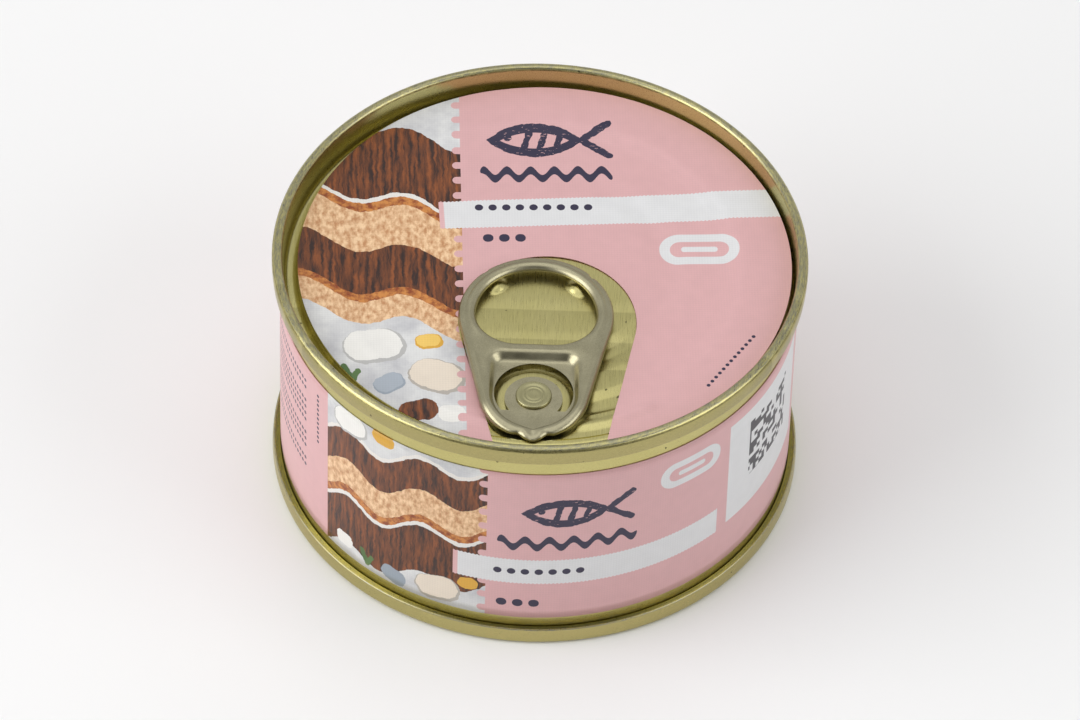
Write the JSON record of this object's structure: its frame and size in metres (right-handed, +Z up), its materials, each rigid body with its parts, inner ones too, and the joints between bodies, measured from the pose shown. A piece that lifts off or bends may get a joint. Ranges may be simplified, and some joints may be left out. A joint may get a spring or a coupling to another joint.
{
  "type": "tin of fish spread",
  "caption": "Shut round seamed food tin with an easy-open end, a riveted pull tab, a round paper lid label and a wrap-round side label.",
  "frame": {"origin": "on the can's axis, in the plane that the bottom seam stands on", "axes": "+Z up along the can's axis, -Y to the front, where the pull tab's nose points, +X to the right seen from the front"},
  "size_m": [0.076, 0.076, 0.041],
  "materials": {
    "can_wall": "clear gold lacquer on drawn tinplate, satin",
    "gold_lacquer": "clear gold lacquer on fine-brushed tinplate, satin",
    "tab_steel": "pressed, warm grey, satin",
    "lid_paper": "printed coated paper, satin",
    "side_paper": "printed coated paper, satin"
  },
  "bodies": {
    "root": {"body": "can_wall", "bottom_end": "gold_lacquer", "lid": "gold_lacquer", "pull_tab": "tab_steel", "lid_label": "lid_paper", "side_label": "side_paper"}
  },
  "joints": []
}
